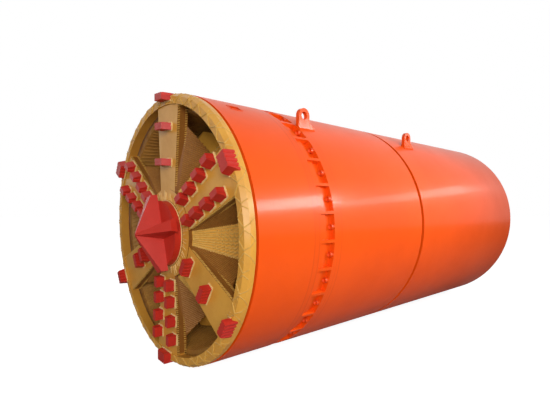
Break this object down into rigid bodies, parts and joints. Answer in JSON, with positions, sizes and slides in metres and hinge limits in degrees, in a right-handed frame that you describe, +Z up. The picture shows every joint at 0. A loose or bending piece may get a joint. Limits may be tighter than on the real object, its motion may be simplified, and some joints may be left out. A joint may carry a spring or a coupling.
{
  "type": "pipe jacking tunnel boring machine",
  "caption": "Small slurry tunnel boring machine: spoked cutterhead with ripper teeth and scrapers, bolted front shield, steered rear shield, lifting lugs and a socket at the tail.",
  "frame": {"origin": "on the ground plane under the middle of the whole machine", "axes": "+X forward, out of the cutterhead; +Z up; +Y to the left of the machine, the side that the picture shows"},
  "size_m": [5.366, 2.44, 2.44],
  "materials": {
    "shield_paint": "gloss orange paint",
    "bronze_paint": "gold-brown satin paint over weld beads",
    "cutter_red": "satin red paint",
    "bare_steel": "turned steel",
    "grey_paint": "satin grey paint",
    "cabinet_paint": "satin light grey paint"
  },
  "bodies": {
    "rear_shield": {"rear_can": "shield_paint", "lifting_lugs_rear": "shield_paint", "yaw_trunnions": "grey_paint", "cylinder_barrels": "grey_paint", "cylinder_brackets": "grey_paint", "pipe_stop_ring": "shield_paint", "feed_pipe_rear": "grey_paint", "discharge_pipe_rear": "grey_paint", "pipe_saddles": "grey_paint", "floor_plate": "grey_paint", "electrical_cabinet": "cabinet_paint", "hydraulic_unit": "cabinet_paint"},
    "articulation": {"articulation_ring": "bare_steel"},
    "front_shield": {"front_can": "shield_paint", "drive_can": "shield_paint", "crusher_ring": "bronze_paint", "bulkhead": "grey_paint", "drive_housing": "grey_paint", "drive_motors": "grey_paint", "lifting_lugs_front": "shield_paint", "pitch_trunnions": "grey_paint", "cylinder_cups": "grey_paint", "feed_pipe_front": "grey_paint", "discharge_pipe_front": "grey_paint"},
    "cutterhead": {"cutterhead_frame": "bronze_paint", "center_cutter": "cutter_red", "ripper_teeth": "cutter_red", "scraper_teeth": "cutter_red", "gauge_cutters": "cutter_red", "main_shaft": "bare_steel"},
    "rod_top": {"steering_rod_top": "bare_steel"},
    "rod_bottom": {"steering_rod_bottom": "bare_steel"},
    "rod_left": {"steering_rod_left": "bare_steel"},
    "rod_right": {"steering_rod_right": "bare_steel"}
  },
  "joints": [
    {"name": "steer_yaw", "type": "hinge", "parent": "rear_shield", "child": "articulation", "pos_m": [0.013, 0, 1.22], "axis": [0, 0, 1], "range_deg": [-1.5, 1.5]},
    {"name": "steer_pitch", "type": "hinge", "parent": "articulation", "child": "front_shield", "pos_m": [0.013, 0, 1.22], "axis": [0, 1, 0], "range_deg": [-1.5, 1.5]},
    {"name": "cutterhead_spin", "type": "hinge", "parent": "front_shield", "child": "cutterhead", "pos_m": [2.386, 0, 1.22], "axis": [1, 0, 0], "continuous": true},
    {"name": "rod_slide_top", "type": "slide", "parent": "rear_shield", "child": "rod_top", "axis": [1, 0, 0], "range_m": [-0.03, 0.03]},
    {"name": "rod_slide_bottom", "type": "slide", "parent": "rear_shield", "child": "rod_bottom", "axis": [1, 0, 0], "range_m": [-0.03, 0.03]},
    {"name": "rod_slide_left", "type": "slide", "parent": "rear_shield", "child": "rod_left", "axis": [1, 0, 0], "range_m": [-0.03, 0.03]},
    {"name": "rod_slide_right", "type": "slide", "parent": "rear_shield", "child": "rod_right", "axis": [1, 0, 0], "range_m": [-0.03, 0.03]}
  ],
  "couplings": [
    {"joint": "rod_slide_top", "follows": "steer_pitch", "m_per_rad": 0.96},
    {"joint": "rod_slide_bottom", "follows": "steer_pitch", "m_per_rad": -0.96},
    {"joint": "rod_slide_left", "follows": "steer_yaw", "m_per_rad": -0.96},
    {"joint": "rod_slide_right", "follows": "steer_yaw", "m_per_rad": 0.96}
  ]
}
